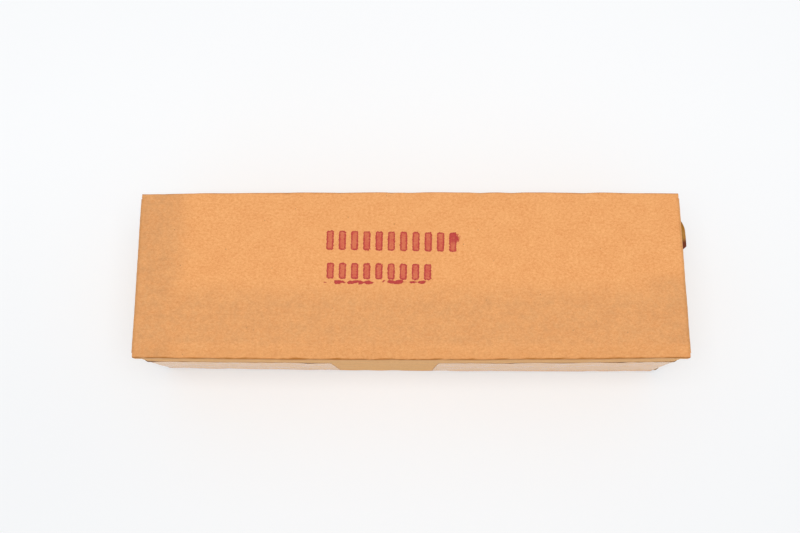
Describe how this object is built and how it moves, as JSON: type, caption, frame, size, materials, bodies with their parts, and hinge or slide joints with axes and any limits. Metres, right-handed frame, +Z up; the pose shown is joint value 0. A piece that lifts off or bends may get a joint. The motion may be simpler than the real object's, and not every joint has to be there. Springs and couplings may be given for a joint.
{
  "type": "corrugated carton",
  "caption": "Long, low end-opening carton of single-wall brown board with hinged inner and outer end flaps and clear tape round both ends.",
  "frame": {"origin": "middle of the carton's underside, on the surface it rests on", "axes": "+X along the carton to its right end, +Y to its back wall, +Z up through the top panel"},
  "size_m": [0.3201, 0.096, 0.072],
  "materials": {
    "kraft_board": "matte",
    "clear_tape": "gloss"
  },
  "bodies": {
    "carton_body": {"top_panel": "kraft_board", "bottom_panel": "kraft_board", "front_wall": "kraft_board", "back_wall": "kraft_board", "glue_flap": "kraft_board", "tape_left_front": "clear_tape", "tape_left_back": "clear_tape", "tape_right_front": "clear_tape", "tape_right_back": "clear_tape"},
    "left_top_flap": {"left_outer_top_flap": "kraft_board", "tape_left_end_upper": "clear_tape"},
    "left_bottom_flap": {"left_outer_bottom_flap": "kraft_board", "tape_left_end_lower": "clear_tape"},
    "left_front_flap": {"left_inner_front_flap": "kraft_board"},
    "left_back_flap": {"left_inner_back_flap": "kraft_board"},
    "right_top_flap": {"right_outer_top_flap": "kraft_board", "tape_right_end_upper": "clear_tape"},
    "right_bottom_flap": {"right_outer_bottom_flap": "kraft_board", "tape_right_end_lower": "clear_tape"},
    "right_front_flap": {"right_inner_front_flap": "kraft_board"},
    "right_back_flap": {"right_inner_back_flap": "kraft_board"}
  },
  "joints": [
    {"name": "left_top_crease", "type": "hinge", "parent": "carton_body", "child": "left_top_flap", "pos_m": [-0.153, 0, 0.069], "axis": [0, 1, 0], "range_deg": [0, 135]},
    {"name": "left_bottom_crease", "type": "hinge", "parent": "carton_body", "child": "left_bottom_flap", "pos_m": [-0.153, 0, 0.003], "axis": [0, -1, 0], "range_deg": [0, 90]},
    {"name": "left_front_crease", "type": "hinge", "parent": "carton_body", "child": "left_front_flap", "pos_m": [-0.1497, -0.0445, 0.036], "axis": [0, 0, -1], "range_deg": [0, 85]},
    {"name": "left_back_crease", "type": "hinge", "parent": "carton_body", "child": "left_back_flap", "pos_m": [-0.1497, 0.0445, 0.036], "axis": [0, 0, 1], "range_deg": [0, 85]},
    {"name": "right_top_crease", "type": "hinge", "parent": "carton_body", "child": "right_top_flap", "pos_m": [0.153, 0, 0.069], "axis": [0, -1, 0], "range_deg": [0, 135]},
    {"name": "right_bottom_crease", "type": "hinge", "parent": "carton_body", "child": "right_bottom_flap", "pos_m": [0.153, 0, 0.003], "axis": [0, 1, 0], "range_deg": [0, 90]},
    {"name": "right_front_crease", "type": "hinge", "parent": "carton_body", "child": "right_front_flap", "pos_m": [0.1497, -0.0445, 0.036], "axis": [0, 0, 1], "range_deg": [0, 85]},
    {"name": "right_back_crease", "type": "hinge", "parent": "carton_body", "child": "right_back_flap", "pos_m": [0.1497, 0.0445, 0.036], "axis": [0, 0, -1], "range_deg": [0, 85]}
  ]
}
